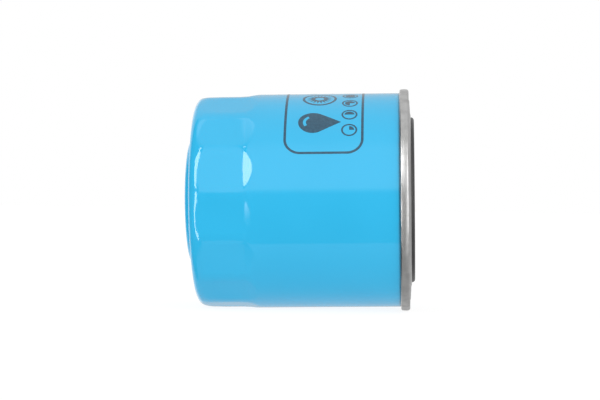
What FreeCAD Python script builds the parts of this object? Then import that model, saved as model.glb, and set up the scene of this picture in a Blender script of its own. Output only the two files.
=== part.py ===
import FreeCAD, Part
import math
import os

# Spin-on engine oil filter, 80 mm can, for a threaded stud.
# Frame: millimetres. X is the filter's axis and +X points out of the open (engine) end.
# The origin is the mouth of the threaded hole, on the outer face of the base plate.
# The closed end of the can points along -X and the filter lies on its side, with +Z up.

V = FreeCAD.Vector
os.makedirs("parts", exist_ok=True)

# ---------------------------------------------------------------- driving dimensions
SEAL_X = 5.0            # gasket sealing face
CAN_R = 40.0            # can outer radius
CAN_T = 0.45            # can sheet thickness
BOSS_X = -79.2          # outer face of the raised boss on the closed end
BOSS_R = 21.9           # boss edge radius
BOSS_FOOT_R = 23.8      # where the boss meets the end panel
PANEL_X = -76.52        # end panel at the boss foot
CORNER_X = -76.19       # end panel produced to the corner's middle tangent
CORNER_MID_R = 38.33
SHOULDER_X = -71.85     # corner's middle tangent produced to the can radius
CORNER_R = 4.7          # outer corner radius of the closed end
SHOULDER_R = 8.0        # gentler radius leading into the corner

FLUTES = 15             # wrench flats pressed in the closed end
FLUTE_APOTHEM = 39.1    # axis to flat
FLUTE_PHASE = 187.7     # azimuth of one flat about X, degrees from +Y towards +Z
FLUTE_END_X = -56.5     # end of the flat
FLUTE_RUNOUT_X = -51.5  # end of the ramp up to the full radius

LID_T = 0.45            # seaming lid sheet
SEAM_R = 41.45          # outside radius of the rolled seam
SEAM_TOP_X = 3.1
SEAM_FOOT_X = -0.3
GROOVE_WALL_X = 3.92    # top of the wall round the gasket groove
GROOVE_OUT_R = 31.0     # groove outer wall
PANEL_TOP_X = 3.60      # sloping panel beside the groove wall
PANEL_LOW_X = 3.32      # sloping panel beside the seam
PANEL_OUT_R = 37.5
LID_OPEN_R = 26.275     # opening in the lid

GASKET_RI = 27.0
GASKET_RO = 30.9
GASKET_FOOT_X = LID_T

PLATE_R = 39.3
PLATE_T = 3.0
COLLAR_R = 12.0
COLLAR_X = -10.0
THREAD_MINOR_R = 9.188  # M20 x 1.5 minor radius
THREAD_MOUTH = 0.45
INLETS = 8
INLET_R = 2.9
INLET_PITCH_R = 18.5

CAP_T = 0.4             # element end cap sheet
CAP_BASE_X = -8.0       # outer face of the base-side end cap
CAP_DOME_X = -68.0      # outer face of the dome-side end cap
CAP_R = 34.3
SKIRT = 4.0
NECK_R = 12.8           # neck centreline radius of the base-side cap

TUBE_RO = 16.0
TUBE_T = 0.5
TUBE_HOLE_R = 1.9

PLEATS = 52
PAPER_T = 0.6
FOLD_OUT_R = 32.4       # centre of the outer folds
FOLD_IN_R = 17.0        # centre of the inner folds
POT_T = 2.0             # potting depth
PAPER_SINK = 1.0        # how far the paper stands in the potting

VALVE_SEAT_R = 8.2
SEAT_LIP_X = -66.9
SEAL_T = 1.2
SEAL_R = 10.0
DISC_T = 0.8
DISC_R = 10.4
STEM_R = 2.0
CAGE_R = 12.2           # bypass housing wall centreline
CAGE_T = 0.5
CAGE_END_X = -53.5
GUIDE_R = 2.08
SPRING_R = 6.6
WIRE_R = 0.5
SPRING_TURNS = 5.5


# ---------------------------------------------------------------- helpers
def _unit(a, b):
    dx, dy = b[0] - a[0], b[1] - a[1]
    n = math.hypot(dx, dy)
    return dx / n, dy / n


def path_edges(pts, closed, put):
    """Lines and tangent arcs through (x, r, fillet) points. put maps a 2D point to a Vector."""
    pts = [(p[0], p[1], p[2] if len(p) > 2 else 0.0) for p in pts]
    n = len(pts)
    cuts = []
    for i, (x, y, f) in enumerate(pts):
        if f <= 0 or (not closed and i in (0, n - 1)):
            cuts.append(((x, y), None, (x, y)))
            continue
        a, b = pts[i - 1], pts[(i + 1) % n]
        u1 = _unit((x, y), a)
        u2 = _unit((x, y), b)
        dot = max(-1.0, min(1.0, u1[0] * u2[0] + u1[1] * u2[1]))
        half = math.acos(dot) / 2
        if abs(math.pi / 2 - half) < 1e-6:
            cuts.append(((x, y), None, (x, y)))
            continue
        d = f / math.tan(half)
        t1 = (x + u1[0] * d, y + u1[1] * d)
        t2 = (x + u2[0] * d, y + u2[1] * d)
        bx, by = u1[0] + u2[0], u1[1] + u2[1]
        bn = math.hypot(bx, by)
        c = (x + bx / bn * f / math.sin(half), y + by / bn * f / math.sin(half))
        m = (c[0] - bx / bn * f, c[1] - by / bn * f)
        cuts.append((t1, m, t2))
    edges = []
    for i in range(n):
        t1, m, t2 = cuts[i]
        if m is not None:
            edges.append(Part.Arc(put(*t1), put(*m), put(*t2)).toShape())
        if i < n - 1 or closed:
            nxt = cuts[(i + 1) % n][0]
            if math.hypot(nxt[0] - t2[0], nxt[1] - t2[1]) > 1e-6:
                edges.append(Part.LineSegment(put(*t2), put(*nxt)).toShape())
    return edges


def xz(x, r):
    return V(x, 0, r)


def face_of(pts, put=xz):
    return Part.Face(Part.Wire(Part.__sortEdges__(path_edges(pts, True, put))))


def revolve(pts):
    """Solid of revolution about X from a closed (x, r, fillet) outline."""
    return face_of(pts).revolve(V(0, 0, 0), V(1, 0, 0), 360)


def sheet_outline(mid, t):
    """Closed outline of a bent sheet from its middle line of (x, r, bend radius) points."""
    mid = [(p[0], p[1], p[2] if len(p) > 2 else 0.0) for p in mid]
    h = t / 2
    sides = ([], [])
    n = len(mid)
    for i, (x, y, f) in enumerate(mid):
        ua = _unit(mid[i - 1], (x, y)) if i > 0 else None
        ub = _unit((x, y), mid[i + 1]) if i < n - 1 else None
        for k, s in enumerate((1.0, -1.0)):
            if ua is None or ub is None:
                u = ub or ua
                sides[k].append((x - u[1] * h * s, y + u[0] * h * s, 0.0))
                continue
            na, nb = (-ua[1] * s, ua[0] * s), (-ub[1] * s, ub[0] * s)
            bx, by = na[0] + nb[0], na[1] + nb[1]
            k2 = h * 2 / (bx * bx + by * by)
            turn = ua[0] * ub[1] - ua[1] * ub[0]
            inner = turn * s > 0
            fr = 0.0 if f <= 0 else (max(f - h, 0.02) if inner else f + h)
            sides[k].append((x + bx * k2, y + by * k2, fr))
    return sides[0] + sides[1][::-1]


def sheet(mid, t):
    return revolve(sheet_outline(mid, t))


def cyl(r, x0, x1, y=0.0, z=0.0):
    return Part.makeCylinder(r, x1 - x0, V(x0, y, z), V(1, 0, 0))


def ring(ri, ro, x0, x1, f=0.0):
    return revolve([(x0, ri, f), (x0, ro, f), (x1, ro, f), (x1, ri, f)])


def spin(shape, deg):
    s = shape.copy()
    s.rotate(V(0, 0, 0), V(1, 0, 0), deg)
    return s


def polar(r, deg):
    a = math.radians(deg)
    return r * math.cos(a), r * math.sin(a)


def save(name, shape):
    shape = shape.removeSplitter() if name not in ("pleated_media", "bypass_spring") else shape
    solids = shape.Solids
    bad = [s for s in solids if not s.isValid()]
    out = solids[0] if len(solids) == 1 else Part.makeCompound(solids)
    out.exportStep("parts/%s.step" % name)
    b = out.BoundBox
    print("%-18s solids %2d%s  vol %9.1f mm3  x %7.2f..%7.2f  r %6.2f" % (
        name, len(solids), " BAD" if bad else "", out.Volume, b.XMin, b.XMax, max(b.YMax, b.ZMax)))


# ---------------------------------------------------------------- can
# Deep-drawn sheet cup. The closed end carries a raised round boss and fifteen flats; the open lip is
# curled outwards and down to make the can's half of the rolled seam.
h = CAN_T / 2
LIP_TOP = 2.395         # middle line of the curl at its top
HOOK_R = 40.735         # middle line of the can hook
JOIN_X = -45.0          # the fluted end and the plain tube meet here

# the two skins are this middle line moved out and in by half the sheet thickness
mid_line = [(BOSS_X + h, 0.0), (BOSS_X + h, BOSS_R - 0.12, 1.9 - h), (PANEL_X + h, BOSS_FOOT_R - 0.12, 1.3 + h),
            (CORNER_X + h, CORNER_MID_R - 0.15, CORNER_R - h), (SHOULDER_X + 0.04, CAN_R - h, SHOULDER_R - h),
            (JOIN_X, CAN_R - h)]
skin = sheet_outline(mid_line, CAN_T)
half_n = len(skin) // 2
a_side, b_side = skin[:half_n], skin[half_n:][::-1]
# of the two sides, the inner one has the smaller radius at the plain end
inner_side = a_side if a_side[-1][1] < b_side[-1][1] else b_side
outer_side = b_side if inner_side is a_side else a_side
outer_solid = revolve(outer_side + [(JOIN_X, 0.0)])
inner_last = inner_side[-1]
inner_solid = revolve(inner_side[:-1] + [(JOIN_X + 1.0, inner_last[1]), (JOIN_X + 1.0, 0.0)])


def flute_tool(apothem, shift):
    """A slab that takes away everything outside one flat, with a ramp at its end. Its flat faces +Z."""
    slope = (CAN_R - FLUTE_APOTHEM) / (FLUTE_RUNOUT_X - FLUTE_END_X)
    pts = [(-90.0, apothem), (FLUTE_END_X + shift, apothem, 12.0),
           (FLUTE_RUNOUT_X + shift + 3.0, apothem + slope * (FLUTE_RUNOUT_X + 3.0 - FLUTE_END_X)),
           (FLUTE_RUNOUT_X + shift + 3.0, 48.0), (-90.0, 48.0)]
    f = Part.Face(Part.Wire(Part.__sortEdges__(path_edges(pts, True, lambda x, r: V(x, -12.0, r)))))
    return f.extrude(V(0, 24.0, 0))


tool_out = flute_tool(FLUTE_APOTHEM, 0.0)
tool_in = flute_tool(FLUTE_APOTHEM - CAN_T, 0.04)
for k in range(FLUTES):
    ang = FLUTE_PHASE + 360.0 / FLUTES * k - 90.0
    outer_solid = outer_solid.cut(spin(tool_out, ang))
    inner_solid = inner_solid.cut(spin(tool_in, ang))
closed_end = outer_solid.cut(inner_solid)
tube_part = sheet([(JOIN_X, CAN_R - h), (LIP_TOP, CAN_R - h, 0.48), (LIP_TOP, HOOK_R, 0.48), (0.55, HOOK_R)], CAN_T)
can = closed_end.fuse(tube_part)
save("can", can)

# ---------------------------------------------------------------- seaming lid
# One pressed sheet: inner lip, gasket groove, sloping panel, narrow trough and chuck wall, then the
# rolled seam that closes over the can's lip and hooks behind it.
m = LID_T / 2
lid_mid = [(2.5, LID_OPEN_R + m), (m, LID_OPEN_R + m, 0.5), (m, GROOVE_OUT_R + m, 0.5),
           (GROOVE_WALL_X - m + 0.05, GROOVE_OUT_R + m, 0.42), (PANEL_TOP_X - m, GROOVE_OUT_R + 1.3, 1.2),
           (PANEL_LOW_X - m, PANEL_OUT_R, 0.6), (m, PANEL_OUT_R + 0.1, 0.6), (m, 39.27, 0.6),
           (SEAM_TOP_X - m, 39.27, 0.75),
           (SEAM_TOP_X - m, SEAM_R - m, 0.75), (SEAM_FOOT_X + m, SEAM_R - m, 0.49),
           (SEAM_FOOT_X + m, 40.245, 0.49), (1.8, 40.245)]
lid = sheet(lid_mid, LID_T)
save("seaming_lid", lid)

# seaming compound: the bead under the can hook and the bead over the lid hook
save("seam_compound", Part.makeCompound([ring(40.56, 40.9, 0.24, 0.5), ring(40.1, 40.4, 1.84, 2.0)]))

# ---------------------------------------------------------------- base plate
# Thick pressed plate with a drawn, tapped collar and a ring of inlet holes.
plate = revolve([(0.0, THREAD_MINOR_R + THREAD_MOUTH), (0.0, PLATE_R, 0.5), (-PLATE_T, PLATE_R, 0.5),
                 (-PLATE_T, COLLAR_R, 0.1), (COLLAR_X, COLLAR_R, 0.6), (COLLAR_X, THREAD_MINOR_R + 0.6),
                 (COLLAR_X + 0.6, THREAD_MINOR_R), (-THREAD_MOUTH, THREAD_MINOR_R)])
for k in range(INLETS):
    y, z = polar(INLET_PITCH_R, 360.0 / INLETS * k + 22.5)
    plate = plate.cut(cyl(INLET_R, -PLATE_T - 1, 1, y, z))
save("base_plate", plate)

# ---------------------------------------------------------------- sealing gasket
save("gasket", revolve([(GASKET_FOOT_X, GASKET_RI, 0.4), (GASKET_FOOT_X, GASKET_RO, 0.4),
                        (SEAL_X, GASKET_RO, 1.1), (SEAL_X, GASKET_RI, 1.1)]))

# ---------------------------------------------------------------- anti-drain-back valve
# One moulded rubber piece: a thick ring round the collar, held between base plate and element, and a
# thin cone whose lip lies on the plate outside the inlet holes.
save("anti_drain_valve", revolve([(-3.0, 12.1), (-3.0, 15.0, 0.3), (-6.35, 15.05, 0.6), (-3.75, 23.3, 0.4),
                                  (-3.0, 23.7), (-3.0, 25.1, 0.25), (-4.5, 25.3, 0.5), (-7.6, 15.75, 0.5),
                                  (-8.0, 15.2), (-8.0, 12.1)]))

# ---------------------------------------------------------------- element end caps
c = CAP_T / 2
base_cap = sheet([(-11.0, NECK_R), (CAP_BASE_X - c, NECK_R, 0.6), (CAP_BASE_X - c, CAP_R - c, 0.8),
                  (CAP_BASE_X - SKIRT, CAP_R - c)], CAP_T)
save("base_end_cap", base_cap)
dome_cap = sheet([(SEAT_LIP_X, VALVE_SEAT_R), (CAP_DOME_X + c, VALVE_SEAT_R, 0.35), (CAP_DOME_X + c, CAP_R - c, 0.8),
                  (CAP_DOME_X + SKIRT, CAP_R - c)], CAP_T)
save("dome_end_cap", dome_cap)

# ---------------------------------------------------------------- centre tube
in_x0, in_x1 = CAP_DOME_X + CAP_T, CAP_BASE_X - CAP_T
tube = ring(TUBE_RO - TUBE_T, TUBE_RO, in_x0, in_x1)
rows = 9
drills = []
for i in range(rows):
    x = in_x0 + 8.0 + i * (in_x1 - in_x0 - 16.0) / (rows - 1)
    for k in range(6):
        a = 30.0 * k + (15.0 if i % 2 else 0.0)
        y, z = polar(1.0, a)
        drills.append(Part.makeCylinder(TUBE_HOLE_R, 44.0, V(x, -22 * y, -22 * z), V(0, y, z)))
tube = tube.cut(Part.makeCompound(drills))
save("centre_tube", tube)

# ---------------------------------------------------------------- pleated paper
step = 360.0 / (2 * PLEATS)
half_out = FOLD_OUT_R * math.sin(math.radians(step / 2))
half_in = FOLD_IN_R * math.sin(math.radians(step / 2))


def yz(p, x):
    return V(x, p[0], p[1])


def at(base_deg, along, across):
    a = math.radians(base_deg)
    return (along * math.cos(a) - across * math.sin(a), along * math.sin(a) + across * math.cos(a))


def band_edges(off, x):
    """One side of the paper: radial legs joined by round folds. off is +t/2 for the outer side."""
    edges = []
    last = None
    first = None
    for k in range(PLEATS):
        mo = 2 * step * k                 # azimuth of an outer fold
        mi = mo + step                    # azimuth of the next inner fold
        ro, ri = half_out + off, half_in - off
        co, ci = FOLD_OUT_R * math.cos(math.radians(step / 2)), FOLD_IN_R * math.cos(math.radians(step / 2))
        o0, om, o1 = at(mo, co, -ro), at(mo, co + ro, 0.0), at(mo, co, ro)
        i0, im, i1 = at(mi, ci, -ri), at(mi, ci - ri, 0.0), at(mi, ci, ri)
        if last is not None:
            edges.append(Part.LineSegment(yz(last, x), yz(o0, x)).toShape())
        else:
            first = o0
        edges.append(Part.Arc(yz(o0, x), yz(om, x), yz(o1, x)).toShape())
        edges.append(Part.LineSegment(yz(o1, x), yz(i0, x)).toShape())
        edges.append(Part.Arc(yz(i0, x), yz(im, x), yz(i1, x)).toShape())
        last = i1
    edges.append(Part.LineSegment(yz(last, x), yz(first, x)).toShape())
    return edges


paper_x0 = in_x0 + POT_T - PAPER_SINK
paper_x1 = in_x1 - POT_T + PAPER_SINK
w_out = Part.Wire(band_edges(PAPER_T / 2, paper_x0))
w_in = Part.Wire(band_edges(-PAPER_T / 2, paper_x0))
f_out, f_in = Part.Face(w_out), Part.Face(w_in)
media = f_out.cut(f_in).Faces[0].extrude(V(paper_x1 - paper_x0, 0, 0))
save("pleated_media", media)

# steel clip folded over one outer pleat, where the two ends of the paper strip meet
co = FOLD_OUT_R * math.cos(math.radians(step / 2))
ri_c, ro_c = half_out + PAPER_T / 2 + 0.02, half_out + PAPER_T / 2 + 0.32
taper = math.tan(math.radians(step / 2))
leg = 4.0


def cpt(r_off, along):
    return (along, r_off)


x0c = CAP_DOME_X + SKIRT + 0.5      # the clip lies between the end caps' skirts
x1c = CAP_BASE_X - SKIRT - 0.5
outer_c = [cpt(-ro_c + leg * taper, co - leg), cpt(-ro_c, co)], [cpt(ro_c, co), cpt(ro_c - leg * taper, co - leg)]
inner_c = [cpt(ri_c - leg * taper, co - leg), cpt(ri_c, co)], [cpt(-ri_c, co), cpt(-ri_c + leg * taper, co - leg)]


def P3(p):
    return V(x0c, p[0], p[1])


clip_edges = [
    Part.LineSegment(P3(outer_c[0][0]), P3(outer_c[0][1])).toShape(),
    Part.Arc(P3(outer_c[0][1]), V(x0c, co + ro_c, 0), P3(outer_c[1][0])).toShape(),
    Part.LineSegment(P3(outer_c[1][0]), P3(outer_c[1][1])).toShape(),
    Part.LineSegment(P3(outer_c[1][1]), P3(inner_c[0][0])).toShape(),
    Part.LineSegment(P3(inner_c[0][0]), P3(inner_c[0][1])).toShape(),
    Part.Arc(P3(inner_c[0][1]), V(x0c, co + ri_c, 0), P3(inner_c[1][0])).toShape(),
    Part.LineSegment(P3(inner_c[1][0]), P3(inner_c[1][1])).toShape(),
    Part.LineSegment(P3(inner_c[1][1]), P3(outer_c[0][0])).toShape(),
]
clip = Part.Face(Part.Wire(clip_edges)).extrude(V(x1c - x0c, 0, 0))
save("media_clip", clip)

# potting: the adhesive in each end cap, moulded round the ends of the paper
for name, xa, xb in (("base_potting", in_x1 - POT_T, in_x1), ("dome_potting", in_x0, in_x0 + POT_T)):
    pot = ring(TUBE_RO + 0.02, CAP_R - CAP_T - 0.02, xa, xb)
    # clear of the bend radius in the cap's corner
    cap = base_cap if name == "base_potting" else dome_cap
    pot = pot.cut(media).cut(cap)
    big = max(pot.Solids, key=lambda s: s.Volume)
    save(name, Part.makeCompound([s for s in pot.Solids if s.Volume > 0.5]))

# ---------------------------------------------------------------- support spring
# Stamped leaf spring: a ring on the dome-side end cap and four bowed arms against the can's end.
leaf_t = 0.6
hub = ring(9.6, 15.5, CAP_DOME_X - leaf_t, CAP_DOME_X)
arm_mid = [(CAP_DOME_X - leaf_t / 2, 13.0), (CAP_DOME_X - leaf_t / 2, 16.2, 6.0), (-75.83, 25.5, 4.0),
           (-75.3, 30.6)]
arm_out = sheet_outline(arm_mid, leaf_t)
arm_face = Part.Face(Part.Wire(Part.__sortEdges__(path_edges(arm_out, True, lambda x, r: V(x, -5.0, r)))))
arm = arm_face.extrude(V(0, 10.0, 0))
spring_leaf = hub
for k in range(4):
    spring_leaf = spring_leaf.fuse(spin(arm, 90.0 * k + 45.0))
save("support_spring", spring_leaf)

# ---------------------------------------------------------------- bypass valve
q = CAGE_T / 2
cage = sheet([(CAP_DOME_X + CAP_T + q, 15.2), (CAP_DOME_X + CAP_T + q, CAGE_R, 0.5), (CAGE_END_X - q, CAGE_R, 0.9),
              (CAGE_END_X - q, GUIDE_R)], CAGE_T)
for k in range(4):
    slot = Part.makeBox(7.0, 7.0, 8.0, V(-64.0, -3.5, 8.0))
    cage = cage.cut(spin(slot, 90.0 * k))
    y, z = polar(7.6, 90.0 * k + 45.0)
    cage = cage.cut(cyl(1.6, CAGE_END_X - 2, CAGE_END_X + 1, y, z))
save("bypass_housing", cage)

seal_x1 = SEAT_LIP_X + SEAL_T
save("bypass_seal", ring(STEM_R, SEAL_R, SEAT_LIP_X, seal_x1, 0.0))
disc_x1 = seal_x1 + DISC_T
save("bypass_disc", ring(STEM_R, DISC_R, seal_x1, disc_x1, 0.15))
save("bypass_washer", ring(STEM_R, 4.6, SEAT_LIP_X - 0.5, SEAT_LIP_X, 0.0))
# rivet: domed head on the washer, shank through seal and disc, shoulder peened over the disc, guide tail
stem = revolve([(SEAT_LIP_X - 1.4, 0.0), (SEAT_LIP_X - 1.4, 3.2, 0.7), (SEAT_LIP_X - 0.5, 3.4),
                (SEAT_LIP_X - 0.5, STEM_R), (disc_x1, STEM_R), (disc_x1, 2.9), (disc_x1 + 0.7, 2.6),
                (disc_x1 + 0.7, STEM_R), (-50.8, STEM_R, 0.5), (-50.8, 0.0)])
save("bypass_stem", stem)

# coil spring with closed ends, between the disc and the housing's end
sx0, sx1 = disc_x1 + WIRE_R + 0.02, CAGE_END_X - CAGE_T - WIRE_R - 0.02
pts = []
count = int(SPRING_TURNS * 16)
dead = 0.9
for i in range(count + 1):
    t = SPRING_TURNS * i / count
    lo, hi = dead, SPRING_TURNS - dead
    dead_rise = 2 * WIRE_R * 1.03
    active = (sx1 - sx0) - 2 * dead * dead_rise
    if t < lo:
        x = sx0 + dead_rise * t
    elif t > hi:
        x = sx1 - dead_rise * (SPRING_TURNS - t)
    else:
        u = (t - lo) / (hi - lo)
        # gentle start and end of the active coils
        x = sx0 + dead_rise * dead + active * (u - 0.0 * math.sin(2 * math.pi * u))
    y, z = polar(SPRING_R, 360.0 * t)
    pts.append(V(x, y, z))
curve = Part.BSplineCurve()
curve.interpolate(pts)
path = Part.Wire([curve.toShape()])
t0 = curve.tangent(curve.FirstParameter)[0]
prof = Part.Wire([Part.makeCircle(WIRE_R, pts[0], t0)])
coil = path.makePipeShell([prof], True, True)
save("bypass_spring", coil)
print("done")
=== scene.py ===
"""Looks for the spin-on oil filter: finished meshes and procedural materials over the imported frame.

Lengths in this file are millimetres until a mesh is made; meshes are in metres, in the frame's own axes:
X is the filter's axis (+X out of the engine end), +Z is up, and the filter lies on its side.
"""

import math

import bmesh
import bpy
import numpy as np
from mathutils import Matrix, Vector


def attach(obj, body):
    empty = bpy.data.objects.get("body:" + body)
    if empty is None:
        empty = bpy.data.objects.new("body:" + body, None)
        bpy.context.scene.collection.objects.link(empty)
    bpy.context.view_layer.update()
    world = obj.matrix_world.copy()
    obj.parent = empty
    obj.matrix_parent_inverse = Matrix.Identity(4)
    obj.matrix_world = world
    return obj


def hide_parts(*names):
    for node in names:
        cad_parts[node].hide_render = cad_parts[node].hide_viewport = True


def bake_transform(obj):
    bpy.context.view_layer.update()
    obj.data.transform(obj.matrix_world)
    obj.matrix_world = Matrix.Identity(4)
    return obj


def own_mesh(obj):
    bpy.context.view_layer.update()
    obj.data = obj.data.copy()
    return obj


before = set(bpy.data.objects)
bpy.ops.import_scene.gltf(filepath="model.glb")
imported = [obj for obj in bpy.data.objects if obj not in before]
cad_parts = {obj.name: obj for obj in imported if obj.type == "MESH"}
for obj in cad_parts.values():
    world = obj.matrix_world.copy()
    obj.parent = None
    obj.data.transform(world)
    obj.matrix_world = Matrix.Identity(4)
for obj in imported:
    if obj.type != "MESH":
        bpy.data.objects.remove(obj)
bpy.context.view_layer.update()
scene = bpy.context.scene
MM = 0.001
rng = np.random.default_rng(80)

# ------------------------------------------------------------------ sizes shared with the CAD model
CAN_R, CAN_T = 40.0, 0.45
SEAM_R = 41.45
FLUTES, FLUTE_A, FLUTE_PHASE = 15, 39.1, 187.7
PITCH, THREAD_MINOR, THREAD_MAJOR = 1.5, 9.188, 10.02


# ================================================================== mesh helpers
def arc_points(pts, closed, seg=0.12, min_n=3):
    """Polyline through (x, r, fillet) points with round corners, finer where it bends."""
    pts = [(p[0], p[1], p[2] if len(p) > 2 else 0.0) for p in pts]
    n = len(pts)
    out = []
    for i, (x, y, f) in enumerate(pts):
        if f <= 0 or (not closed and i in (0, n - 1)):
            out.append((x, y))
            continue
        a, b = pts[i - 1], pts[(i + 1) % n]
        u1 = np.array([a[0] - x, a[1] - y]); u1 /= np.linalg.norm(u1)
        u2 = np.array([b[0] - x, b[1] - y]); u2 /= np.linalg.norm(u2)
        half = math.acos(max(-1, min(1, float(u1 @ u2)))) / 2
        if abs(math.pi / 2 - half) < 1e-6:
            out.append((x, y))
            continue
        d = f / math.tan(half)
        bis = (u1 + u2) / np.linalg.norm(u1 + u2)
        c = np.array([x, y]) + bis * f / math.sin(half)
        p1, p2 = np.array([x, y]) + u1 * d, np.array([x, y]) + u2 * d
        a1, a2 = math.atan2(*(p1 - c)[::-1]), math.atan2(*(p2 - c)[::-1])
        da = (a2 - a1 + math.pi) % (2 * math.pi) - math.pi
        k = max(min_n, int(abs(da) * f / seg) + 1)
        for t in np.linspace(0, 1, k + 1):
            ang = a1 + da * t
            out.append((c[0] + f * math.cos(ang), c[1] + f * math.sin(ang)))
    clean = [out[0]]
    for p in out[1:]:
        if math.hypot(p[0] - clean[-1][0], p[1] - clean[-1][1]) > 1e-4:
            clean.append(p)
    if closed and math.hypot(clean[0][0] - clean[-1][0], clean[0][1] - clean[-1][1]) < 1e-4:
        clean.pop()
    return clean


def subdivide(poly, closed, longest):
    """Splits long segments of a polyline."""
    out = []
    n = len(poly)
    for i in range(n if closed else n - 1):
        p, q = poly[i], poly[(i + 1) % n]
        k = max(1, int(math.ceil(math.hypot(q[0] - p[0], q[1] - p[1]) / longest)))
        for j in range(k):
            out.append((p[0] + (q[0] - p[0]) * j / k, p[1] + (q[1] - p[1]) * j / k))
    if not closed:
        out.append(poly[-1])
    return out


def sheet_outline(mid, t):
    """Closed outline of a bent sheet from its middle line of (x, r, bend radius) points."""
    mid = [(p[0], p[1], p[2] if len(p) > 2 else 0.0) for p in mid]
    h = t / 2
    sides = ([], [])
    n = len(mid)

    def unit(a, b):
        d = math.hypot(b[0] - a[0], b[1] - a[1])
        return (b[0] - a[0]) / d, (b[1] - a[1]) / d

    for i, (x, y, f) in enumerate(mid):
        ua = unit(mid[i - 1], (x, y)) if i > 0 else None
        ub = unit((x, y), mid[i + 1]) if i < n - 1 else None
        for k, s in enumerate((1.0, -1.0)):
            if ua is None or ub is None:
                u = ub or ua
                sides[k].append((x - u[1] * h * s, y + u[0] * h * s, 0.0))
                continue
            na, nb = (-ua[1] * s, ua[0] * s), (-ub[1] * s, ub[0] * s)
            bx, by = na[0] + nb[0], na[1] + nb[1]
            k2 = h * 2 / (bx * bx + by * by)
            turn = ua[0] * ub[1] - ua[1] * ub[0]
            fr = 0.0 if f <= 0 else (max(f - h, 0.02) if turn * s > 0 else f + h)
            sides[k].append((x + bx * k2, y + by * k2, fr))
    return sides[0] + sides[1][::-1]


def make_object(name, verts, faces, body, mat=None, smooth_deg=40):
    me = bpy.data.meshes.new(name)
    me.from_pydata([tuple(v) for v in verts], [], [tuple(f) for f in faces])
    me.validate()
    bm = bmesh.new()
    bm.from_mesh(me)
    bmesh.ops.recalc_face_normals(bm, faces=bm.faces)
    if bm.calc_volume(signed=True) < 0:
        bmesh.ops.reverse_faces(bm, faces=bm.faces)
    bm.to_mesh(me)
    bm.free()
    ob = bpy.data.objects.new(name, me)
    scene.collection.objects.link(ob)
    shade(ob, smooth_deg)
    if mat:
        me.materials.append(mat)
    if body:
        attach(ob, body)
    return ob


def shade(ob, deg):
    """Smooth shading with hard edges above an angle."""
    me = ob.data
    me.polygons.foreach_set("use_smooth", [True] * len(me.polygons))
    bm = bmesh.new()
    bm.from_mesh(me)
    lim = math.radians(deg)
    for e in bm.edges:
        e.smooth = not (len(e.link_faces) == 2 and e.calc_face_angle(0.0) > lim)
    bm.to_mesh(me)
    bm.free()


def ring_grid(rows, segs, closed_rows, radial=None, phase=0.0):
    """Vertices and faces of a surface of revolution about X. rows are (x, r); radial(x, r, theta) may move r."""
    th = phase + np.arange(segs) * 2 * math.pi / segs
    xs, rs = np.array([p[0] for p in rows]), np.array([p[1] for p in rows])
    X = np.repeat(xs[:, None], segs, 1)
    R = np.repeat(rs[:, None], segs, 1)
    T = np.repeat(th[None, :], len(rows), 0)
    if radial is not None:
        X, R = radial(X, R, T)
    V = np.stack([X, R * np.cos(T), R * np.sin(T)], -1).reshape(-1, 3) * MM
    F = []
    n = len(rows)
    for i in range(n if closed_rows else n - 1):
        a, b = i * segs, ((i + 1) % n) * segs
        for j in range(segs):
            k = (j + 1) % segs
            F.append((a + j, a + k, b + k, b + j))
    return V, F


def revolve(name, outline, body, mat, segs=256, longest=2.0, radial=None, seg=0.12, deg=40):
    """Closed ring solid from an outline that doesn't touch the axis."""
    rows = subdivide(arc_points(outline, True, seg), True, longest)
    V, F = ring_grid(rows, segs, True, radial)
    return make_object(name, V, F, body, mat, deg)


def revolve_capped(name, rows, body, mat, segs=96, deg=40, radial=None):
    """Solid of revolution whose outline starts and ends on the axis; rows exclude the axis points."""
    inner = rows[1:-1]
    V, F = ring_grid(inner, segs, False, radial)
    V = np.vstack([V, [[rows[0][0] * MM, 0, 0], [rows[-1][0] * MM, 0, 0]]])
    n0, n1 = len(V) - 2, len(V) - 1
    last = (len(inner) - 1) * segs
    for j in range(segs):
        k = (j + 1) % segs
        F.append((n0, k, j))
        F.append((n1, last + j, last + k))
    return make_object(name, V, F, body, mat, deg)


def boolean_cut(ob, cutters):
    for c in cutters:
        m = ob.modifiers.new("cut", "BOOLEAN")
        m.operation, m.solver, m.object = "DIFFERENCE", "EXACT", c
    dg = bpy.context.evaluated_depsgraph_get()
    me = bpy.data.meshes.new_from_object(ob.evaluated_get(dg))
    ob.modifiers.clear()
    ob.data = me
    for c in cutters:
        bpy.data.objects.remove(c)


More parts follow.
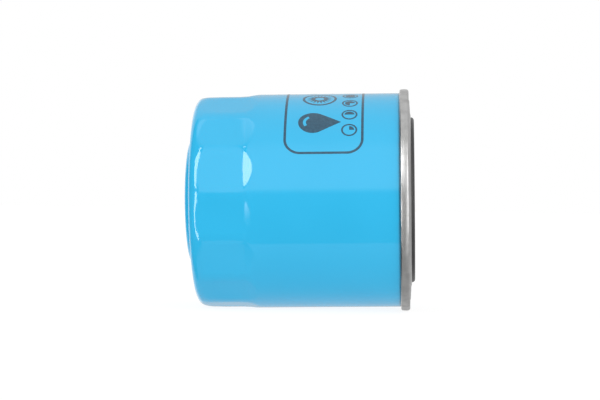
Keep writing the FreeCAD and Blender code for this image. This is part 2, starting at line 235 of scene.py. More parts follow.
# ================================================================== node helpers
class Nodes:
    """Small wrapper so a node graph reads like an expression."""

    def __init__(self, tree):
        self.t = tree
        self.x = 0

    def add(self, kind, **props):
        n = self.t.nodes.new(kind)
        n.location = (self.x, 0)
        self.x += 40
        for k, v in props.items():
            setattr(n, k, v)
        return n

    def link(self, a, b):
        self.t.links.new(a, b)

    def put(self, socket, value):
        if isinstance(value, bpy.types.NodeSocket):
            self.link(value, socket)
        else:
            socket.default_value = value

    def math(self, op, a, b=None, c=None, clamp=False):
        n = self.add("ShaderNodeMath", operation=op, use_clamp=clamp)
        self.put(n.inputs[0], a)
        if b is not None:
            self.put(n.inputs[1], b)
        if c is not None:
            self.put(n.inputs[2], c)
        return n.outputs[0]

    def step(self, v, lo, hi):
        n = self.add("ShaderNodeMapRange", interpolation_type="SMOOTHSTEP", clamp=True)
        self.put(n.inputs["Value"], v)
        self.put(n.inputs["From Min"], lo)
        self.put(n.inputs["From Max"], hi)
        return n.outputs["Result"]

    def ramp(self, v, stops, interp="LINEAR"):
        n = self.add("ShaderNodeValToRGB")
        n.color_ramp.interpolation = interp
        els = n.color_ramp.elements
        while len(els) < len(stops):
            els.new(0.5)
        for e, (p, col) in zip(els, stops):
            e.position = p
            e.color = (*col, 1.0) if len(col) == 3 else col
        self.put(n.inputs["Fac"], v)
        return n.outputs["Color"]

    def noise(self, vec, scale, detail=3.0, rough=0.5, dist=0.0):
        n = self.add("ShaderNodeTexNoise")
        if vec is not None:
            self.link(vec, n.inputs["Vector"])
        n.inputs["Scale"].default_value = scale
        n.inputs["Detail"].default_value = detail
        n.inputs["Roughness"].default_value = rough
        n.inputs["Distortion"].default_value = dist
        return n.outputs["Fac"]

    def mix(self, fac, a, b):
        n = self.add("ShaderNodeMix", data_type="RGBA")
        self.put(n.inputs["Factor"], fac)
        self.put(n.inputs["A"], a if isinstance(a, bpy.types.NodeSocket) else (*a, 1.0))
        self.put(n.inputs["B"], b if isinstance(b, bpy.types.NodeSocket) else (*b, 1.0))
        return n.outputs["Result"]

    def mixf(self, fac, a, b):
        n = self.add("ShaderNodeMix", data_type="FLOAT")
        self.put(n.inputs["Factor"], fac)
        self.put(n.inputs["A"], a)
        self.put(n.inputs["B"], b)
        return n.outputs["Result"]

    def bump(self, height, distance, strength=1.0, normal=None):
        n = self.add("ShaderNodeBump")
        n.inputs["Strength"].default_value = strength
        n.inputs["Distance"].default_value = distance
        self.link(height, n.inputs["Height"])
        if normal is not None:
            self.link(normal, n.inputs["Normal"])
        return n.outputs["Normal"]


def material(name):
    m = bpy.data.materials.new(name)
    m.use_nodes = True
    m.node_tree.nodes.clear()
    n = Nodes(m.node_tree)
    out = n.add("ShaderNodeOutputMaterial")
    bsdf = n.add("ShaderNodeBsdfPrincipled")
    n.link(bsdf.outputs["BSDF"], out.inputs["Surface"])
    co = n.add("ShaderNodeTexCoord").outputs["Object"]
    return m, n, bsdf, co


def cylinder_coords(n, co):
    """(x, r, angle) of a point about the filter's axis, from object coordinates in metres."""
    s = n.add("ShaderNodeSeparateXYZ")
    n.link(co, s.inputs[0])
    x, y, z = s.outputs
    r = n.math("SQRT", n.math("ADD", n.math("MULTIPLY", y, y), n.math("MULTIPLY", z, z)))
    a = n.math("ARCTAN2", z, y)
    return x, r, a


def combine(n, x, y, z):
    c = n.add("ShaderNodeCombineXYZ")
    for s, v in zip(c.inputs, (x, y, z)):
        n.put(s, v)
    return c.outputs[0]


# ------------------------------------------------------------------ can enamel
def enamel():
    m, n, b, co = material("can_enamel")
    x, r, a = cylinder_coords(n, co)
    big = n.noise(co, 28.0, 2.0, 0.5)
    fine = n.noise(co, 420.0, 3.0, 0.6)
    blue = n.mix(n.step(big, 0.35, 0.7), (0.0275, 0.403, 0.680), (0.0250, 0.392, 0.664))
    # a trace of dry overspray where the paint meets the rolled seam
    near_seam = n.step(x, -0.0016, 0.0002)
    edge = n.math("MULTIPLY", near_seam, n.step(fine, 0.35, 0.75))
    blue = n.mix(n.math("MULTIPLY", edge, 0.55), blue, (0.10, 0.30, 0.42))
    # painted shade in the crevice under the seam: the paint is darkened towards the seam's foot
    blue = n.mix(n.math("MULTIPLY", n.step(x, -0.0011, -0.00015), 0.85), blue, (0.012, 0.055, 0.085))
    n.link(blue, b.inputs["Base Color"])
    b.inputs["Metallic"].default_value = 0.0
    b.inputs["IOR"].default_value = 1.5
    n.link(n.mixf(n.step(fine, 0.3, 0.8), 0.055, 0.085), b.inputs["Roughness"])
    peel = n.noise(co, 520.0, 2.0, 0.45)
    wave = n.noise(co, 95.0, 2.0, 0.4)
    h = n.math("ADD", n.math("MULTIPLY", peel, 0.12), n.math("MULTIPLY", wave, 0.9))
    n.link(n.bump(h, 0.000012), b.inputs["Normal"])
    return m


def ink():
    m, n, b, co = material("printed_ink")
    g = n.noise(co, 900.0, 3.0, 0.65)
    n.link(n.mix(n.step(g, 0.35, 0.7), (0.013, 0.060, 0.105), (0.022, 0.085, 0.140)), b.inputs["Base Color"])
    n.link(n.mixf(g, 0.12, 0.3), b.inputs["Roughness"])
    b.inputs["IOR"].default_value = 1.5
    n.link(n.bump(g, 0.00001), b.inputs["Normal"])
    return m


# ------------------------------------------------------------------ metals
def rolled_steel():
    """Coated lid sheet, burnished by the seaming rolls."""
    m, n, b, co = material("seam_steel")
    x, r, a = cylinder_coords(n, co)
    streak = n.noise(combine(n, n.math("MULTIPLY", x, 1.0), n.math("MULTIPLY", r, 1.0), n.math("MULTIPLY", a, 0.0022)), 1500.0, 3.0, 0.6)
    blot = n.noise(co, 260.0, 4.0, 0.62)
    patch = n.noise(co, 45.0, 3.0, 0.55)
    col = n.mix(n.step(blot, 0.35, 0.72), (0.50, 0.50, 0.495), (0.39, 0.39, 0.385))
    col = n.mix(n.math("MULTIPLY", n.step(patch, 0.45, 0.75), 0.35), col, (0.36, 0.37, 0.385))
    n.link(col, b.inputs["Base Color"])
    b.inputs["Metallic"].default_value = 1.0
    rough = n.math("ADD", n.mixf(n.step(blot, 0.3, 0.75), 0.26, 0.34), n.math("MULTIPLY", streak, 0.06))
    n.link(rough, b.inputs["Roughness"])
    b.inputs["Anisotropic"].default_value = 0.25
    h = n.math("ADD", n.math("MULTIPLY", streak, 0.35), n.math("MULTIPLY", blot, 0.65))
    n.link(n.bump(h, 0.000012), b.inputs["Normal"])
    return m


def plate_steel():
    """Pressed plate: grained, with a thin film of oil."""
    m, n, b, co = material("plate_steel")
    x, r, a = cylinder_coords(n, co)
    grain = n.noise(combine(n, x, n.math("MULTIPLY", co_y(n, co), 1.0), n.math("MULTIPLY", co_z(n, co), 0.06)), 1400.0, 4.0, 0.6)
    blot = n.noise(co, 110.0, 4.0, 0.6)
    film = n.noise(co, 38.0, 3.0, 0.5, 0.6)
    col = n.mix(n.step(blot, 0.3, 0.75), (0.56, 0.555, 0.54), (0.43, 0.43, 0.425))
    col = n.mix(n.math("MULTIPLY", n.step(film, 0.5, 0.72), 0.3), col, (0.40, 0.37, 0.30))
    n.link(col, b.inputs["Base Color"])
    b.inputs["Metallic"].default_value = 1.0
    n.link(n.math("ADD", n.mixf(n.step(film, 0.4, 0.7), 0.40, 0.27), n.math("MULTIPLY", grain, 0.10)), b.inputs["Roughness"])
    b.inputs["Coat Weight"].default_value = 0.15
    b.inputs["Coat Roughness"].default_value = 0.12
    h = n.math("ADD", n.math("MULTIPLY", grain, 0.6), n.math("MULTIPLY", blot, 0.4))
    n.link(n.bump(h, 0.00005), b.inputs["Normal"])
    return m


def co_y(n, co):
    s = n.add("ShaderNodeSeparateXYZ")
    n.link(co, s.inputs[0])
    return s.outputs[1]


def co_z(n, co):
    s = n.add("ShaderNodeSeparateXYZ")
    n.link(co, s.inputs[0])
    return s.outputs[2]


def tinplate(name, light, dark, rough, grain_scale=900.0):
    m, n, b, co = material(name)
    g = n.noise(combine(n, n.math("MULTIPLY", co_x(n, co), 0.08), co_y(n, co), co_z(n, co)), grain_scale, 4.0, 0.6)
    blot = n.noise(co, 140.0, 4.0, 0.6)
    n.link(n.mix(n.step(blot, 0.3, 0.75), light, dark), b.inputs["Base Color"])
    b.inputs["Metallic"].default_value = 1.0
    n.link(n.math("ADD", n.mixf(blot, rough, rough + 0.16), n.math("MULTIPLY", g, 0.08)), b.inputs["Roughness"])
    n.link(n.bump(n.math("ADD", n.math("MULTIPLY", g, 0.5), n.math("MULTIPLY", blot, 0.5)), 0.00004), b.inputs["Normal"])
    return m


def co_x(n, co):
    s = n.add("ShaderNodeSeparateXYZ")
    n.link(co, s.inputs[0])
    return s.outputs[0]


# ------------------------------------------------------------------ rubber, paper, potting
def rubber(name, base=(0.021, 0.0215, 0.023), rough=0.42):
    m, n, b, co = material(name)
    g = n.noise(co, 1300.0, 3.0, 0.6)
    bloom = n.noise(co, 85.0, 4.0, 0.6)
    lighter = tuple(min(1, v * 2.1 + 0.006) for v in base)
    n.link(n.mix(n.math("MULTIPLY", n.step(bloom, 0.45, 0.8), 0.6), base, lighter), b.inputs["Base Color"])
    n.link(n.math("ADD", n.mixf(bloom, rough, rough + 0.15), n.math("MULTIPLY", g, 0.06)), b.inputs["Roughness"])
    b.inputs["IOR"].default_value = 1.52
    b.inputs["Sheen Weight"].default_value = 0.08
    n.link(n.bump(g, 0.00003), b.inputs["Normal"])
    return m


def paper():
    m, n, b, co = material("filter_paper")
    fibre = n.noise(combine(n, n.math("MULTIPLY", co_x(n, co), 0.35), co_y(n, co), co_z(n, co)), 2600.0, 5.0, 0.7)
    cloud = n.noise(co, 160.0, 4.0, 0.6)
    col = n.mix(n.step(fibre, 0.3, 0.75), (0.70, 0.55, 0.30), (0.83, 0.72, 0.48))
    col = n.mix(n.math("MULTIPLY", n.step(cloud, 0.5, 0.8), 0.35), col, (0.58, 0.42, 0.20))
    n.link(col, b.inputs["Base Color"])
    b.inputs["Roughness"].default_value = 0.85
    n.link(n.bump(n.math("ADD", n.math("MULTIPLY", fibre, 0.7), n.math("MULTIPLY", cloud, 0.3)), 0.00009), b.inputs["Normal"])
    return m


def potting():
    m, n, b, co = material("potting")
    g = n.noise(co, 420.0, 4.0, 0.6)
    bub = n.add("ShaderNodeTexVoronoi")
    n.link(co, bub.inputs["Vector"])
    bub.inputs["Scale"].default_value = 700.0
    pit = n.step(bub.outputs["Distance"], 0.0, 0.25)
    n.link(n.mix(g, (0.40, 0.17, 0.055), (0.55, 0.27, 0.10)), b.inputs["Base Color"])
    n.link(n.mixf(g, 0.45, 0.65), b.inputs["Roughness"])
    b.inputs["Subsurface Weight"].default_value = 0.08
    b.inputs["Subsurface Scale"].default_value = 0.001
    n.link(n.bump(n.math("ADD", n.math("MULTIPLY", pit, 0.4), g), 0.00008), b.inputs["Normal"])
    return m


def compound():
    m, n, b, co = material("sealing_compound")
    g = n.noise(co, 800.0, 3.0, 0.6)
    n.link(n.mix(g, (0.10, 0.105, 0.10), (0.17, 0.175, 0.16)), b.inputs["Base Color"])
    b.inputs["Roughness"].default_value = 0.55
    n.link(n.bump(g, 0.00005), b.inputs["Normal"])
    return m


M_CAN, M_INK = enamel(), ink()
M_SEAM, M_PLATE = rolled_steel(), plate_steel()
M_CAP = tinplate("cap_tinplate", (0.62, 0.615, 0.60), (0.50, 0.50, 0.49), 0.28)
M_TUBE = tinplate("tube_steel", (0.56, 0.56, 0.555), (0.42, 0.42, 0.42), 0.34)
M_SPRING = tinplate("spring_steel", (0.36, 0.36, 0.375), (0.24, 0.245, 0.26), 0.24, 500.0)
M_VALVE = tinplate("valve_steel", (0.60, 0.585, 0.54), (0.50, 0.49, 0.46), 0.25)
M_GASKET = rubber("gasket_rubber", (0.0095, 0.0098, 0.0105), 0.36)
M_DRAIN = rubber("valve_rubber", (0.022, 0.0225, 0.024), 0.46)
M_PAPER, M_POT, M_COMP = paper(), potting(), compound()


# ================================================================== can
def smin(a, b, k):
    h = np.clip(k - np.abs(a - b), 0, None) / k
    return np.minimum(a, b) - h * h * k * 0.25


def smax(a, b, k):
    return -smin(-a, -b, k)


def flute_radius(X, T, apothem):
    """Radius of the fluted prism at each point: flats joined by round ridges, ramping out at their ends."""
    pitch = 2 * math.pi / FLUTES
    rel = (T - math.radians(FLUTE_PHASE)) / pitch
    near = np.round(rel)
    d = (rel - near) * pitch
    other = d - np.sign(d + 1e-12) * pitch
    start = 57.7 - 0.9 * (d / (pitch / 2)) ** 2
    ramp = smax(np.zeros_like(X), (X + start) * 0.181, 0.34)
    ap = apothem + ramp
    return smin(ap / np.cos(d), ap / np.cos(other), 1.07)


def can_radial(apothem):
    def f(X, R, T):
        fluted = flute_radius(X, T, apothem)
        # a soft crease at the closed end's corner, a tighter one where the flats run out
        blend = 0.16 + 0.74 * np.clip((-64.0 - X) / 5.0, 0, 1)
        R2 = np.where(X < -44.0, smin(R, fluted, blend), R)
        return X, np.where(R < 30.0, R, R2)
    return f


def build_can():
    h = CAN_T / 2
    boss = -79.2
    lip_top, hook_r = 2.395, 40.735
    outer = [(boss, 0.0), (boss, 22.8, 3.3), (-76.58, 24.5, 0.9), (-76.26, 38.25, 4.3), (-71.2, CAN_R, 9.5),
             (-1.2, CAN_R)]
    inner = [(boss + CAN_T, 0.0), (boss + CAN_T, 22.56, 2.85), (-76.13, 24.26, 1.35), (-75.81, 37.94, 3.85),
             (-71.12, CAN_R - CAN_T, 9.05), (-1.2, CAN_R - CAN_T)]

    def wall(pts, fine, coarse):
        p = arc_points(pts, False, 0.25, 6)
        # from the end of the corner arc to the lip, rows are fine over the ramp
        x0 = max(q[0] for q in p[:-1])
        r0 = p[-1][1]
        xs = []
        x = x0
        while x < -1.2 - 1e-9:
            s = fine if (-58.5 < x < -49.5) else (0.6 if x < -66 else coarse)
            x = min(x + s, -1.2)
            xs.append(x)
        body = [(x, r0) for x in xs]
        head = p[:-1]
        k = next(i for i, q in enumerate(head) if q[1] > 36.0)
        head = subdivide(head[:k], False, 1.6) + subdivide(head[k:], False, 0.22)
        return head + body

    out_rows = wall(outer, 0.28, 3.0)
    in_rows = wall(inner, 0.6, 6.0)
    curl_mid = [(-1.2, CAN_R - h), (lip_top, CAN_R - h, 0.48), (lip_top, hook_r, 0.48), (0.55, hook_r)]
    curl = arc_points(sheet_outline(curl_mid, CAN_T), True, 0.12)
    # the curl's outline starts at one side of the sheet and ends at the other; order it outer side first
    i0 = min(range(len(curl)), key=lambda i: math.hypot(curl[i][0] + 1.2, curl[i][1] - CAN_R))
    curl = curl[i0:] + curl[:i0]
    if math.hypot(curl[1][0] + 1.2, curl[1][1] - (CAN_R - CAN_T)) < 0.05:
        curl = [curl[0]] + curl[1:][::-1]
    segs = FLUTES * 32
    section = out_rows[1:-1] + curl + in_rows[1:-1][::-1]
    n_out = len(out_rows[1:-1])
    # outer rows use the outer apothem, inner rows the inner one
    fo, fi = can_radial(FLUTE_A), can_radial(FLUTE_A - CAN_T)

    def radial(X, R, T):
        Xo, Ro = fo(X, R, T)
        Xi, Ri = fi(X, R, T)
        idx = np.arange(X.shape[0])[:, None]
        return X, np.where(idx < n_out + 2, Ro, Ri)

    V, F = ring_grid(section, segs, False, radial, math.radians(FLUTE_PHASE))
    V = np.vstack([V, [[boss * MM, 0, 0], [(boss + CAN_T) * MM, 0, 0]]])
    n0, n1 = len(V) - 2, len(V) - 1
    last = (len(section) - 1) * segs
    for j in range(segs):
        k = (j + 1) % segs
        F.append((n0, k, j))
        F.append((n1, last + j, last + k))
    ob = make_object("can_shell", V, F, "filter", M_CAN, 50)
    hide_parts("can")
    return ob


can_shell = build_can()


# ================================================================== printed marks
def strip_on_can(name, polys, lift=0.012, thick=0.02):
    """Thin ink film on the can from flat polygons in (x, arc) millimetres; arc 0 faces -Y and grows upwards."""
    bm = bmesh.new()
    for ring in polys:
        outer, holes = ring
        verts = [bm.verts.new((p[0], p[1], 0)) for p in outer]
        edges = [bm.edges.new((verts[i], verts[(i + 1) % len(verts)])) for i in range(len(verts))]
        for hole in holes:
            hv = [bm.verts.new((p[0], p[1], 0)) for p in hole]
            edges += [bm.edges.new((hv[i], hv[(i + 1) % len(hv)])) for i in range(len(hv))]
        bmesh.ops.triangle_fill(bm, use_beauty=True, use_dissolve=False, edges=edges)
    # cut the film finely along the arc so that it follows the can
    lo = min(v.co.y for v in bm.verts)
    hi = max(v.co.y for v in bm.verts)
    s = math.floor(lo)
    while s < hi:
        geom = bm.verts[:] + bm.edges[:] + bm.faces[:]
        bmesh.ops.bisect_plane(bm, geom=geom, plane_co=(0, s, 0), plane_no=(0, 1, 0), dist=1e-5)
        s += 0.8
    bmesh.ops.recalc_face_normals(bm, faces=bm.faces)
    faces = bm.faces[:]
    ext = bmesh.ops.extrude_face_region(bm, geom=faces)
    top = [g for g in ext["geom"] if isinstance(g, bmesh.types.BMVert)]
    for v in top:
        v.co.z += thick
    for v in bm.verts:
        r = CAN_R + lift + v.co.z
        a = v.co.y / CAN_R
        v.co = Vector((v.co.x, -r * math.cos(a), r * math.sin(a))) * MM
    bmesh.ops.recalc_face_normals(bm, faces=bm.faces)
    me = bpy.data.meshes.new(name)
    bm.to_mesh(me)
    bm.free()
    ob = bpy.data.objects.new(name, me)
    scene.collection.objects.link(ob)
    shade(ob, 40)
    me.materials.append(M_INK)
    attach(ob, "filter")
    return ob


def circle(cx, cy, r, n=64, a0=0.0, a1=360.0):
    full = abs(a1 - a0) >= 360
    k = n if full else n + 1
    return [(cx + r * math.cos(math.radians(a0 + (a1 - a0) * i / n)),
             cy + r * math.sin(math.radians(a0 + (a1 - a0) * i / n))) for i in range(k)]


def rounded_rect(x0, y0, x1, y1, r, n=12):
    out = []
    for cx, cy, a in ((x1 - r, y1 - r, 0), (x0 + r, y1 - r, 90), (x0 + r, y0 + r, 180), (x1 - r, y0 + r, 270)):
        out += circle(cx, cy, r, n, a, a + 90)
    return out


def drop(cx, cy, r, tall, n=40):
    """Oil drop pointing +x in the film's plane: a round end and two sides that draw to a point."""
    out = []
    k = math.degrees(math.acos(r / tall))
    out += circle(cx, cy, r, n, k, 360 - k)
    tip = (cx + tall, cy)
    base0, base1 = out[-1], out[0]
    for t in np.linspace(0, 1, 8)[1:]:
        out.append((base0[0] + (tip[0] - base0[0]) * t, base0[1] + (tip[1] - base0[1]) * t))
    for t in np.linspace(0, 1, 8)[1:-1]:
        out.append((tip[0] + (base1[0] - tip[0]) * t, tip[1] + (base1[1] - tip[1]) * t))
    return out


def turn_arrow(cx, cy, r, w, a0, a1, head):
    """Arc with an arrow head at a1."""
    ro, ri = r + w / 2, r - w / 2
    pts = circle(cx, cy, ro, 40, a0, a1)
    m = math.radians(a1)
    t = (-math.sin(m), math.cos(m)) if a1 > a0 else (math.sin(m), -math.cos(m))
    pts.append((cx + (r + head) * math.cos(m), cy + (r + head) * math.sin(m)))
    pts.append((cx + r * math.cos(m) + t[0] * head * 1.7, cy + r * math.sin(m) + t[1] * head * 1.7))
    pts.append((cx + (r - head) * math.cos(m), cy + (r - head) * math.sin(m)))
    pts += circle(cx, cy, ri, 40, a1, a0)
    return pts


def build_marks():
    frame_line = [(rounded_rect(-42.0, 17.2, -13.2, 82.0, 6.0), [rounded_rect(-41.1, 18.1, -14.1, 81.1, 5.1)])]
    big = []
    # an oil drop, a ring of pleats and a tightening arrow, one above the other
    d0 = drop(-31.6, 31.5, 5.3, 10.2)
    d1 = circle(-31.6, 31.5, 3.6, 24, 118, 215) + circle(-31.6, 31.5, 2.5, 24, 215, 118)
    big.append((d0, [d1]))
    cx, cy = -29.6, 48.5
    big.append((circle(cx, cy, 6.3, 72), [circle(cx, cy, 5.4, 72)]))
    star = []
    for i in range(36):
        rr = 4.6 if i % 2 == 0 else 2.6
        a = math.radians(10 * i)
        star.append((cx + rr * math.cos(a), cy + rr * math.sin(a)))
    big.append((star, [circle(cx, cy, 1.7, 36)]))
    big.append((turn_arrow(-29.6, 66.5, 5.4, 1.5, 250, -20, 2.1), []))
    big.append((circle(-29.6, 66.5, 2.0, 36), []))
    # quarter, half and three-quarter turn dials
    for i, part in enumerate((90, 180, 270, 360)):
        cy = 27.5 + i * 8.2
        cx = -18.4
        big.append((circle(cx, cy, 2.9, 48), [circle(cx, cy, 2.3, 48)]))
        if part < 360:
            big.append(([(cx, cy)] + circle(cx, cy, 1.8, 24, 0, part)[:], []))
        else:
            big.append((circle(cx, cy, 1.8, 40), []))
    return strip_on_can("print_frame", frame_line), strip_on_can("print_pictograms", big)


build_marks()


# ================================================================== seaming lid
def build_lid():
    t = 0.45
    m = t / 2
    mid = [(2.5, 26.5), (m, 26.5, 0.5), (m, 31.225, 0.5), (3.745, 31.225, 0.42), (3.375, 32.3, 1.2),
           (3.095, 37.5, 0.6), (m, 37.6, 0.6), (m, 39.27, 0.6), (3.1 - m, 39.27, 0.75), (3.1 - m, SEAM_R - m - 0.14, 0.7),
           (1.62, SEAM_R - m + 0.02, 4.0), (-0.3 + m, SEAM_R - m - 0.13, 0.46), (-0.3 + m, 40.245, 0.49), (1.8, 40.245)]
    outline = sheet_outline(mid, t)

    def radial(X, R, T):
        # the rolls leave the seam very slightly uneven
        on_seam = np.clip((R - 40.4) / 0.6, 0, 1)
        wob = 0.018 * np.sin(23 * T + 0.7) + 0.014 * np.sin(41 * T + 2.1) + 0.010 * np.sin(67 * T + 0.3)
        foot = np.clip((0.9 - X) / 1.0, 0, 1) * on_seam
        R2 = R + on_seam * wob * 0.22
        X2 = X - foot * 0.010 * (np.sin(29 * T) + 0.7 * np.sin(53 * T + 1.0))
        return X2, R2

    ob = revolve("seaming_lid_sheet", outline, "filter", M_SEAM, segs=420, longest=1.1, radial=radial, seg=0.1, deg=50)
    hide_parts("seaming_lid")
    return ob


build_lid()


# ================================================================== gasket
def build_gasket():
    outline = [(0.47, 27.0, 0.4), (0.47, 30.9, 0.4), (2.55, 30.9), (2.62, 30.97), (2.69, 30.9), (5.0, 30.9, 1.15),
               (5.0, 27.0, 1.1), (2.69, 27.0), (2.62, 26.94), (2.55, 27.0)]
    ob = revolve("gasket_ring", outline, "filter", M_GASKET, segs=360, longest=0.5, seg=0.1, deg=60)
    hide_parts("gasket")
    return ob


build_gasket()


# ================================================================== base plate with its thread and inlets
def build_plate():
    segs = 192
    outline = [(-0.45, THREAD_MINOR), (0.0, THREAD_MINOR + 0.45), (0.0, 12.0), (0.0, 39.3, 0.5), (-3.0, 39.3, 0.5),
               (-3.0, 12.0, 0.35), (-10.0, 12.0, 0.7), (-10.0, THREAD_MINOR + 0.6), (-9.4, THREAD_MINOR)]
    body = arc_points(outline, True, 0.12)
    i0 = min(range(len(body)), key=lambda i: math.hypot(body[i][0] + 0.45, body[i][1] - THREAD_MINOR))
    body = body[i0:] + body[:i0]
    rows = subdivide(body, False, 1.7)
    # thread rows run back from the inner end of the wall to its mouth
    xs = np.arange(-9.4, -0.45, 0.075)[1:]
    chamfer_in = [(x, THREAD_MINOR) for x in xs]
    section = rows + chamfer_in

    def radial(X, R, T):
        # 60-degree thread: flat crests a quarter pitch wide at the minor radius, roots near the major radius
        ph = (X / PITCH - T / (2 * math.pi)) % 1.0
        d = np.abs(ph - 0.5) * PITCH          # distance from the groove's middle
        depth = np.clip((0.5625 - d) / math.tan(math.radians(30)), 0, THREAD_MAJOR - THREAD_MINOR)
        depth = np.where(depth > 0, depth, 0)
        wall = THREAD_MINOR + depth
        # the two chamfers and the faces cut the thread off
        in_bore = (R < 11.0) & (X > -10.01) & (X < 0.01)
        limit = np.where(X > -0.95, 99.0, 99.0)
        R2 = np.where(in_bore, np.maximum(R, np.minimum(wall, limit)), R)
        end = np.clip(np.minimum(-X / 0.25, (X + 10.0) / 0.25), 0, 1)
        R2 = np.where(in_bore, R + (R2 - R) * end, R2)
        return X, R2

    V, F = ring_grid(section, segs, True, radial)
    ob = make_object("base_plate_pressed", V, F, "filter", M_PLATE, 42)
    cutters = []
    for k in range(8):
        a = math.radians(45.0 * k + 22.5)
        prof = arc_points([(0.6, 0.0), (0.6, 3.55), (0.0, 3.55), (0.0, 3.35), (-0.4, 2.9, 0.35), (-2.75, 2.9, 0.3),
                           (-3.0, 3.15), (-3.6, 3.2), (-3.6, 0.0)], False, 0.12)
        th = np.arange(40) * 2 * math.pi / 40
        inner = prof[1:-1]
        cv, cf = [], []
        for x, r in inner:
            for t in th:
                cv.append((x * MM, (18.5 * math.cos(a) + r * math.cos(t)) * MM, (18.5 * math.sin(a) + r * math.sin(t)) * MM))
        for i in range(len(inner) - 1):
            for j in range(40):
                q = (j + 1) % 40
                cf.append((i * 40 + j, i * 40 + q, (i + 1) * 40 + q, (i + 1) * 40 + j))
        cf.append(tuple(range(39, -1, -1)))
        cf.append(tuple((len(inner) - 1) * 40 + j for j in range(40)))
        cutters.append(make_object("cut%d" % k, cv, cf, None))
    boolean_cut(ob, cutters)
    shade(ob, 42)
    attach(ob, "filter")
    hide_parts("base_plate")
    return ob


build_plate()


# ================================================================== anti-drain valve
def build_drain_valve():
    # the thick ring stays clamped; the cone, which bends between it and the lip on the real valve, is one fixed shape
    # here
    ring_out = [(-3.0, 12.02), (-3.0, 15.0, 0.35), (-6.6, 15.05), (-8.0, 15.25, 0.3), (-8.0, 12.02, 0.3)]
    ring_ob = revolve("drain_valve_ring", ring_out, "filter", M_DRAIN, segs=128, longest=0.9, seg=0.12)
    cone_out = [(-6.45, 15.0), (-6.3, 15.35, 0.25), (-3.85, 23.2, 0.5), (-3.02, 23.7, 0.2), (-3.02, 25.1, 0.22),
                (-4.5, 25.3, 0.5), (-7.45, 16.0, 0.5), (-7.75, 15.05)]
    cone = revolve("drain_valve_cone", cone_out, None, M_DRAIN, segs=192, longest=0.6, seg=0.12)
    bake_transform(cone)
    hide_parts("anti_drain_valve")


build_drain_valve()


# ================================================================== relief valve spring
def build_relief_spring():
    wire, rad, turns = 0.5, 6.6, 5.5
    x0, x1 = -64.9 + wire + 0.02, -54.0 - wire - 0.02
    dead, rise = 0.9, 2 * wire * 1.03
    n = int(turns * 40)
    ts = np.linspace(0, turns, n + 1)
    active = (x1 - x0) - 2 * dead * rise
    xs = np.where(ts < dead, x0 + rise * ts,
                  np.where(ts > turns - dead, x1 - rise * (turns - ts),
                           x0 + rise * dead + active * (ts - dead) / (turns - 2 * dead)))
    ang = ts * 2 * math.pi
    P = np.stack([xs, rad * np.cos(ang), rad * np.sin(ang)], -1)
    Tn = np.gradient(P, axis=0)
    Tn /= np.linalg.norm(Tn, axis=1)[:, None]
    rad_dir = np.stack([np.zeros_like(ang), np.cos(ang), np.sin(ang)], -1)
    side = np.cross(Tn, rad_dir)
    side /= np.linalg.norm(side, axis=1)[:, None]
    m = 16
    V, F = [], []
    for i in range(n + 1):
        grind = 1.0
        for j in range(m):
            a = 2 * math.pi * j / m
            V.append((P[i] + wire * (math.cos(a) * rad_dir[i] + math.sin(a) * side[i]) * grind) * MM)
    for i in range(n):
        for j in range(m):
            k = (j + 1) % m
            F.append((i * m + j, i * m + k, (i + 1) * m + k, (i + 1) * m + j))
    F.append(tuple(range(m)))
    F.append(tuple(n * m + j for j in range(m - 1, -1, -1)))
    ob = make_object("relief_spring_coil", V, F, "filter", M_SPRING, 45)
    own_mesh(ob)
    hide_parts("bypass_spring")


build_relief_spring()

# ================================================================== carried-over CAD nodes
for node, mat in {"seam_compound": M_COMP, "base_end_cap": M_CAP, "dome_end_cap": M_CAP, "centre_tube": M_TUBE,
                  "pleated_media": M_PAPER, "media_clip": M_CAP, "base_potting": M_POT, "dome_potting": M_POT,
                  "support_spring": M_SPRING, "bypass_housing": M_CAP, "bypass_seal": M_DRAIN, "bypass_disc": M_VALVE,
                  "bypass_washer": M_VALVE, "bypass_stem": M_VALVE}.items():
    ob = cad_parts[node]
    ob.data.materials.clear()
    ob.data.materials.append(mat)

# ================================================================== stage, light and camera
def build_stage():
    # the filter rests on its seam and on the fluted end, so the floor leans by the difference
    lean = math.atan2(41.45 - 39.75, 72.5)
    me = bpy.data.meshes.new("floor")
    s = 6.0
    me.from_pydata([(-s, -s, 0), (s, -s, 0), (s, s, 0), (-s, s, 0)], [], [(0, 1, 2, 3)])
    floor = bpy.data.objects.new("floor", me)
    scene.collection.objects.link(floor)
    floor.location = (0.0012, 0, -0.04147)
    floor.rotation_euler = (0, lean, 0)
    floor.visible_glossy = False
    m = bpy.data.materials.new("floor_white")
    m.use_nodes = True
    m.node_tree.nodes.clear()
    n = Nodes(m.node_tree)
    out = n.add("ShaderNodeOutputMaterial")
    d = n.add("ShaderNodeBsdfDiffuse")
    d.inputs["Color"].default_value = (0.86, 0.86, 0.86, 1)
    g = n.noise(n.add("ShaderNodeTexCoord").outputs["Object"], 3.0, 2.0)
    n.link(n.mix(g, (0.135, 0.135, 0.135), (0.15, 0.15, 0.15)), d.inputs["Color"])
    e = n.add("ShaderNodeEmission")
    e.inputs["Strength"].default_value = 0.90
    both = n.add("ShaderNodeAddShader")
    n.link(d.outputs[0], both.inputs[0])
    n.link(e.outputs[0], both.inputs[1])
    n.link(both.outputs[0], out.inputs["Surface"])
    me.materials.append(m)


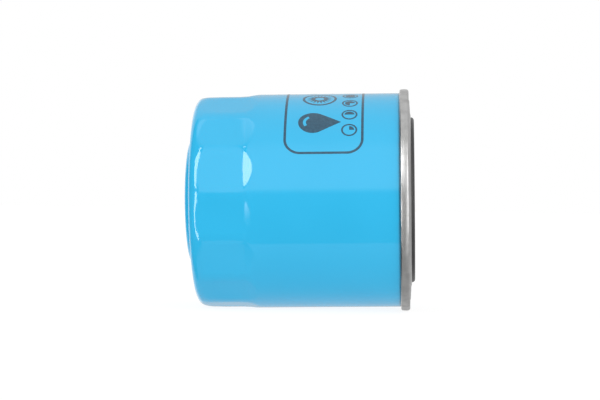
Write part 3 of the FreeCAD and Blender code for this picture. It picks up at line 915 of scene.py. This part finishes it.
def build_world():
    w = bpy.data.worlds.new("studio")
    scene.world = w
    w.use_nodes = True
    w.node_tree.nodes.clear()
    n = Nodes(w.node_tree)
    out = n.add("ShaderNodeOutputWorld")
    co = n.add("ShaderNodeTexCoord").outputs["Generated"]
    s = n.add("ShaderNodeSeparateXYZ")
    n.link(co, s.inputs[0])
    x, y, z = s.outputs
    el = n.math("MULTIPLY", n.math("ARCSINE", z), 180 / math.pi)
    az = n.math("MULTIPLY", n.math("ARCTAN2", x, n.math("MULTIPLY", y, -1.0)), 180 / math.pi)

    def band(v, lo, hi, soft_lo, soft_hi):
        return n.math("MULTIPLY", n.step(v, lo - soft_lo, lo + soft_lo),
                      n.math("SUBTRACT", 1.0, n.step(v, hi - soft_hi, hi + soft_hi)))

    # what the object mirrors: pale walls, a little brighter overhead, and the pale table below
    upper = n.mixf(n.step(el, 0.0, 75.0), 0.70, 0.96)
    lower = n.mixf(n.step(el, -75.0, -42.0), 0.56, 0.70)
    room = n.mixf(n.step(el, -8.0, 4.0), lower, upper)
    front = band(az, -22.0, 4.5, 2.0, 1.5)
    # front overhead softbox
    room = n.mixf(n.math("MULTIPLY", front, band(el, 10.0, 62.0, 4.5, 9.0)), room, 1.30)
    # the dark side of the room, where the camera stands, and a black flag to its left
    room = n.mixf(n.math("MULTIPLY", front, band(el, -46.3, 10.0, 0.35, 4.5)), room, 0.14)
    # a pale screen to its right, and the white backdrop behind
    screens = n.math("MULTIPLY", band(az, 6.0, 34.0, 1.5, 3.0), band(el, -56.0, 58.0, 6.0, 8.0))
    room = n.mixf(screens, room, 1.25)
    behind = n.math("MULTIPLY", band(az, -168.0, -126.0, 4.0, 6.0), band(el, -22.0, 26.0, 8.0, 8.0))
    room = n.mixf(behind, room, 1.15)
    flag = n.math("MULTIPLY", band(az, -122.0, -22.0, 8.0, 3.0), band(el, -58.0, 66.0, 6.0, 8.0))
    room = n.mixf(flag, room, 0.10)
    # left softbox, in an upper and a lower half with rounded inner sides; a small one overhead; a right one
    def bulge(centre, nearest):
        off = n.math("SUBTRACT", el, centre)
        return n.math("MAXIMUM", n.math("SUBTRACT", nearest, n.math("MULTIPLY", n.math("MULTIPLY", off, off), 0.05)), -30.5)

    edge = n.mixf(n.step(el, 13.0, 14.0), bulge(-10.0, -25.6), bulge(37.0, -20.6))
    halves = n.math("MULTIPLY", band(el, -40.0, 60.0, 3.0, 3.0), n.math("SUBTRACT", 1.0, band(el, 11.0, 16.5, 1.2, 1.2)))
    left = n.math("MULTIPLY", halves, n.math(
        "MULTIPLY", n.math("SUBTRACT", 1.0, n.step(n.math("SUBTRACT", az, edge), -1.6, 1.6)), n.step(az, -40.0, -37.0)))
    top = n.math("MULTIPLY", band(el, 70.0, 82.0, 3.0, 3.0), band(az, -102.0, -68.0, 6.0, 6.0))
    right = n.math("MULTIPLY", band(el, -28.0, 48.0, 4.0, 4.0), band(az, 32.0, 58.0, 3.0, 3.0))
    room = n.mixf(top, room, 1.8)
    room = n.mixf(left, room, 9.0)
    room = n.mixf(right, room, 3.6)
    # what lights the object: one even wrap, stronger from the front
    toward = n.math("MULTIPLY", y, -1.0)
    wrap = n.math("ADD", n.math("ADD", 1.14, n.math("MULTIPLY", toward, 0.84)), n.math("MULTIPLY", z, -0.26))
    lp = n.add("ShaderNodeLightPath")
    strength = n.mixf(lp.outputs["Is Glossy Ray"], wrap, room)
    strength = n.mixf(lp.outputs["Is Camera Ray"], strength, 1.0)
    bg = n.add("ShaderNodeBackground")
    bg.inputs["Color"].default_value = (1.0, 1.0, 1.0, 1.0)
    n.link(strength, bg.inputs["Strength"])
    n.link(bg.outputs[0], out.inputs["Surface"])


def build_camera():
    foot = Vector((0.0015, -0.740, 0.0))
    aim = Vector((-0.03798, 0.0, 0.00029))
    cam = bpy.data.cameras.new("camera")
    ob = bpy.data.objects.new("camera", cam)
    scene.collection.objects.link(ob)
    ob.location = foot
    q = (aim - foot).to_track_quat("-Z", "Y")
    roll = Matrix.Rotation(math.radians(-0.487), 4, "Z")
    ob.matrix_world = Matrix.Translation(foot) @ q.to_matrix().to_4x4() @ roll
    cam.lens = 118.22
    cam.sensor_width = 36.0
    cam.clip_start, cam.clip_end = 0.01, 50.0
    scene.camera = ob


build_stage()
build_world()
build_camera()
scene.view_settings.view_transform = "Standard"
scene.view_settings.look = "None"
scene.view_settings.exposure = 0.0
scene.view_settings.gamma = 1.0
